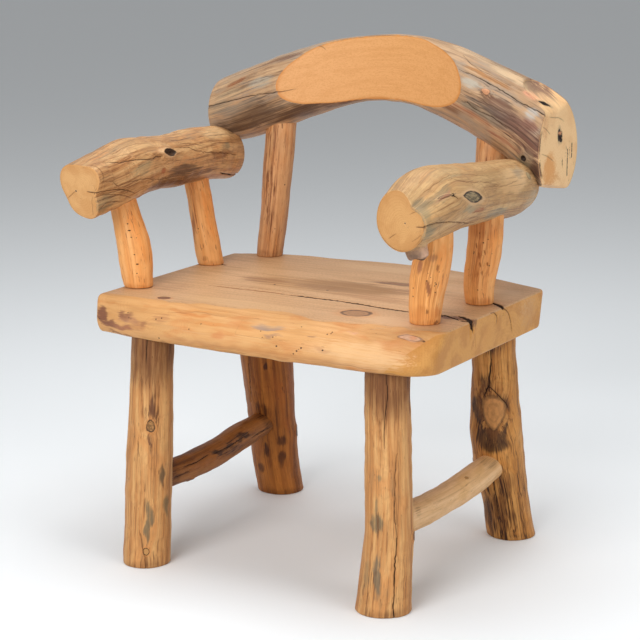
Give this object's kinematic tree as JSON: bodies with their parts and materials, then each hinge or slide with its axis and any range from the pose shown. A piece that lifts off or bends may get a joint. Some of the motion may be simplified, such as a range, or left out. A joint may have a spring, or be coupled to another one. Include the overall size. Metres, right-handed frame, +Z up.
{
  "type": "log armchair",
  "caption": "Rustic log armchair: thick slab seat on stout log legs with side stretchers, log arms on round posts and an arched log back rail.",
  "frame": {"origin": "on the floor, under the middle of the whole chair's box", "axes": "+Z up, the chair faces -Y, +X to the viewer's right when looking at its front"},
  "size_m": [0.6719, 0.5331, 0.8223],
  "materials": {
    "seat_wood": "planed softwood slab, oiled, matt, with bark belly in front",
    "leg_wood": "peeled log, brown and grey streaks, satin",
    "stretcher_wood": "peeled branch, satin",
    "post_wood": "peeled branch, warm orange, satin",
    "arm_wood": "weathered grey-brown log with pale sawn ends, satin",
    "rail_wood": "weathered grey-brown log with a dressed honey-coloured front, satin",
    "dowel_wood": "plain turned dowel, matt"
  },
  "bodies": {
    "root": {"seat_slab": "seat_wood", "leg_front_left": "leg_wood", "leg_front_right": "leg_wood", "leg_back_left": "leg_wood", "leg_back_right": "leg_wood", "stretcher_left": "stretcher_wood", "stretcher_right": "stretcher_wood", "arm_post_left_front": "post_wood", "arm_post_left_back": "post_wood", "arm_post_right_front": "post_wood", "arm_post_right_back": "post_wood", "back_post_left": "post_wood", "back_post_right": "post_wood", "arm_left": "arm_wood", "arm_right": "arm_wood", "back_rail": "rail_wood", "rail_dowel_left": "dowel_wood", "rail_dowel_right": "dowel_wood"}
  },
  "joints": []
}
